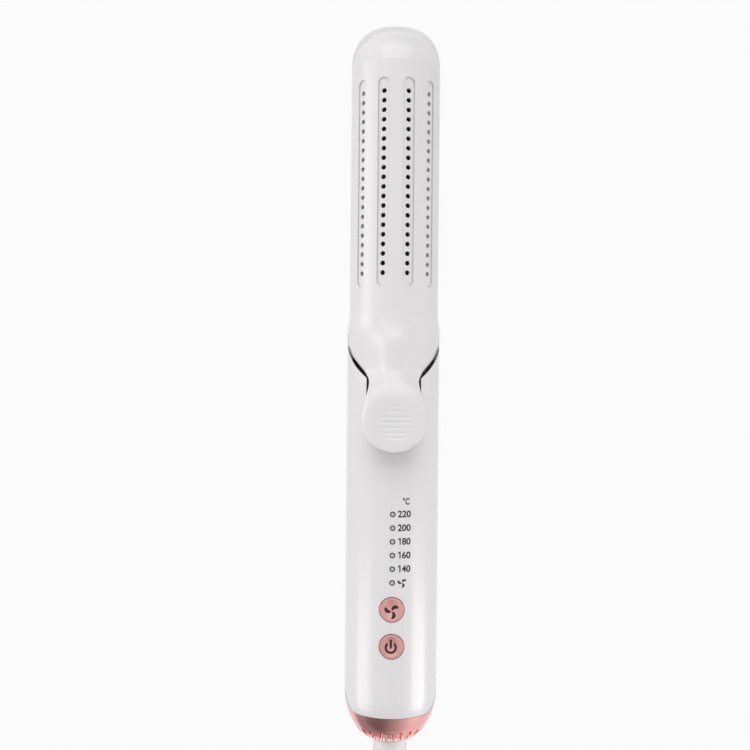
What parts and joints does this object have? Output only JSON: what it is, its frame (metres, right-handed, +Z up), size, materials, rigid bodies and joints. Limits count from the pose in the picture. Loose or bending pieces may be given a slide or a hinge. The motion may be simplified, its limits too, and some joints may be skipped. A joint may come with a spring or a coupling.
{
  "type": "hair curler",
  "caption": "Airflow hair curler: round handle with push buttons and indicator lights, half-round heated arms with air holes, and a thumb lever that opens the front arm.",
  "frame": {"origin": "centre of the bottom of the curler's box, without its cord: the curler lies on its back on Z = 0", "axes": "+Y along the handle towards the tip, +X to the right seen from the buttons, +Z up through the buttons and the thumb lever"},
  "size_m": [0.054, 0.515, 0.0466],
  "materials": {
    "white_shell": "satin moulded white",
    "rose_gold": "rose gold coated",
    "black_plastic": "moulded black",
    "light_pipe": "frosted clear",
    "light_emitter": "moulded white",
    "circuit_board": "solder resist",
    "nylon": "glass filled nylon",
    "component_case": "moulded",
    "steel": "zinc plated",
    "spring_steel": "drawn wire",
    "acetal": "natural acetal",
    "filter_mesh": "woven mesh",
    "coated_plate": "dark ceramic coating",
    "insulating_film": "amber film",
    "heater_ceramic": "fired ceramic",
    "silicone": "silicone foam",
    "lead_sleeve": "silicone sleeve",
    "contact_brass": "turned",
    "plated_pin": "nickel plated",
    "cord_jacket": "matt white"
  },
  "bodies": {
    "handle": {"handle_front_shell": "white_shell", "handle_rear_shell": "white_shell", "end_cap": "rose_gold", "rear_arm_shell": "white_shell", "switch_bodies": "black_plastic", "indicator_light_pipe": "light_pipe", "indicator_leds": "light_emitter", "control_board": "circuit_board", "board_frame": "nylon", "board_screws": "steel", "power_board": "circuit_board", "power_components": "component_case", "case_screws": "steel", "intake_filter": "filter_mesh", "fan_housing": "black_plastic", "fan_motor": "steel", "hinge_bracket": "nylon", "bracket_screws": "steel", "hinge_pin": "steel", "hinge_spring": "spring_steel", "rear_plate_carrier": "nylon", "rear_carrier_screws": "steel", "rear_heater_plate": "coated_plate", "rear_insulation": "insulating_film", "rear_heater": "heater_ceramic", "rear_plate_pads": "silicone", "thermal_fuse": "component_case", "mains_leads": "lead_sleeve", "rear_heater_leads": "lead_sleeve", "front_heater_leads": "lead_sleeve", "contact_block": "black_plastic", "swivel_retainer": "black_plastic", "mains_cord": "cord_jacket", "cord_hank": "cord_jacket", "plug_lead": "cord_jacket", "plug_body": "cord_jacket", "plug_pins": "plated_pin"},
    "clamp_arm": {"front_arm_shell": "white_shell", "hinge_bushes": "acetal", "front_plate_carrier": "nylon", "front_carrier_screws": "steel", "front_plate_pads": "silicone"},
    "floating_plate": {"front_heater_plate": "coated_plate", "front_insulation": "insulating_film", "front_heater": "heater_ceramic", "front_thermistor": "black_plastic"},
    "fan_button": {"fan_button": "rose_gold", "fan_switch_plunger": "black_plastic"},
    "power_button": {"power_button": "rose_gold", "power_switch_plunger": "black_plastic"},
    "fan_rotor": {"fan_wheel": "black_plastic", "motor_shaft": "steel"},
    "swivel": {"strain_relief": "cord_jacket", "contact_spindle": "contact_brass"}
  },
  "joints": [
    {"name": "clamp_hinge", "type": "hinge", "parent": "handle", "child": "clamp_arm", "pos_m": [0, 0.0327, 0.027], "axis": [1, 0, 0], "range_deg": [0, 10], "stiffness_Nm_per_rad": 0.6, "springref_deg": -22.92, "deforming": ["hinge_spring", "front_heater_leads"]},
    {"name": "plate_float", "type": "slide", "parent": "clamp_arm", "child": "floating_plate", "axis": [0, 0, 1], "range_m": [0, 0.0008], "stiffness_N_per_m": 1500, "springref_m": -0.0005, "deforming": ["front_plate_pads"]},
    {"name": "fan_button_press", "type": "slide", "parent": "handle", "child": "fan_button", "axis": [0, 0, -1], "range_m": [0, 0.0006], "stiffness_N_per_m": 400, "springref_m": -0.0005},
    {"name": "power_button_press", "type": "slide", "parent": "handle", "child": "power_button", "axis": [0, 0, -1], "range_m": [0, 0.0006], "stiffness_N_per_m": 400, "springref_m": -0.0005},
    {"name": "fan_spin", "type": "hinge", "parent": "handle", "child": "fan_rotor", "pos_m": [0, 0, 0.019], "axis": [0, 1, 0], "continuous": true},
    {"name": "cord_swivel", "type": "hinge", "parent": "handle", "child": "swivel", "pos_m": [0, 0, 0.019], "axis": [0, 1, 0], "continuous": true}
  ]
}
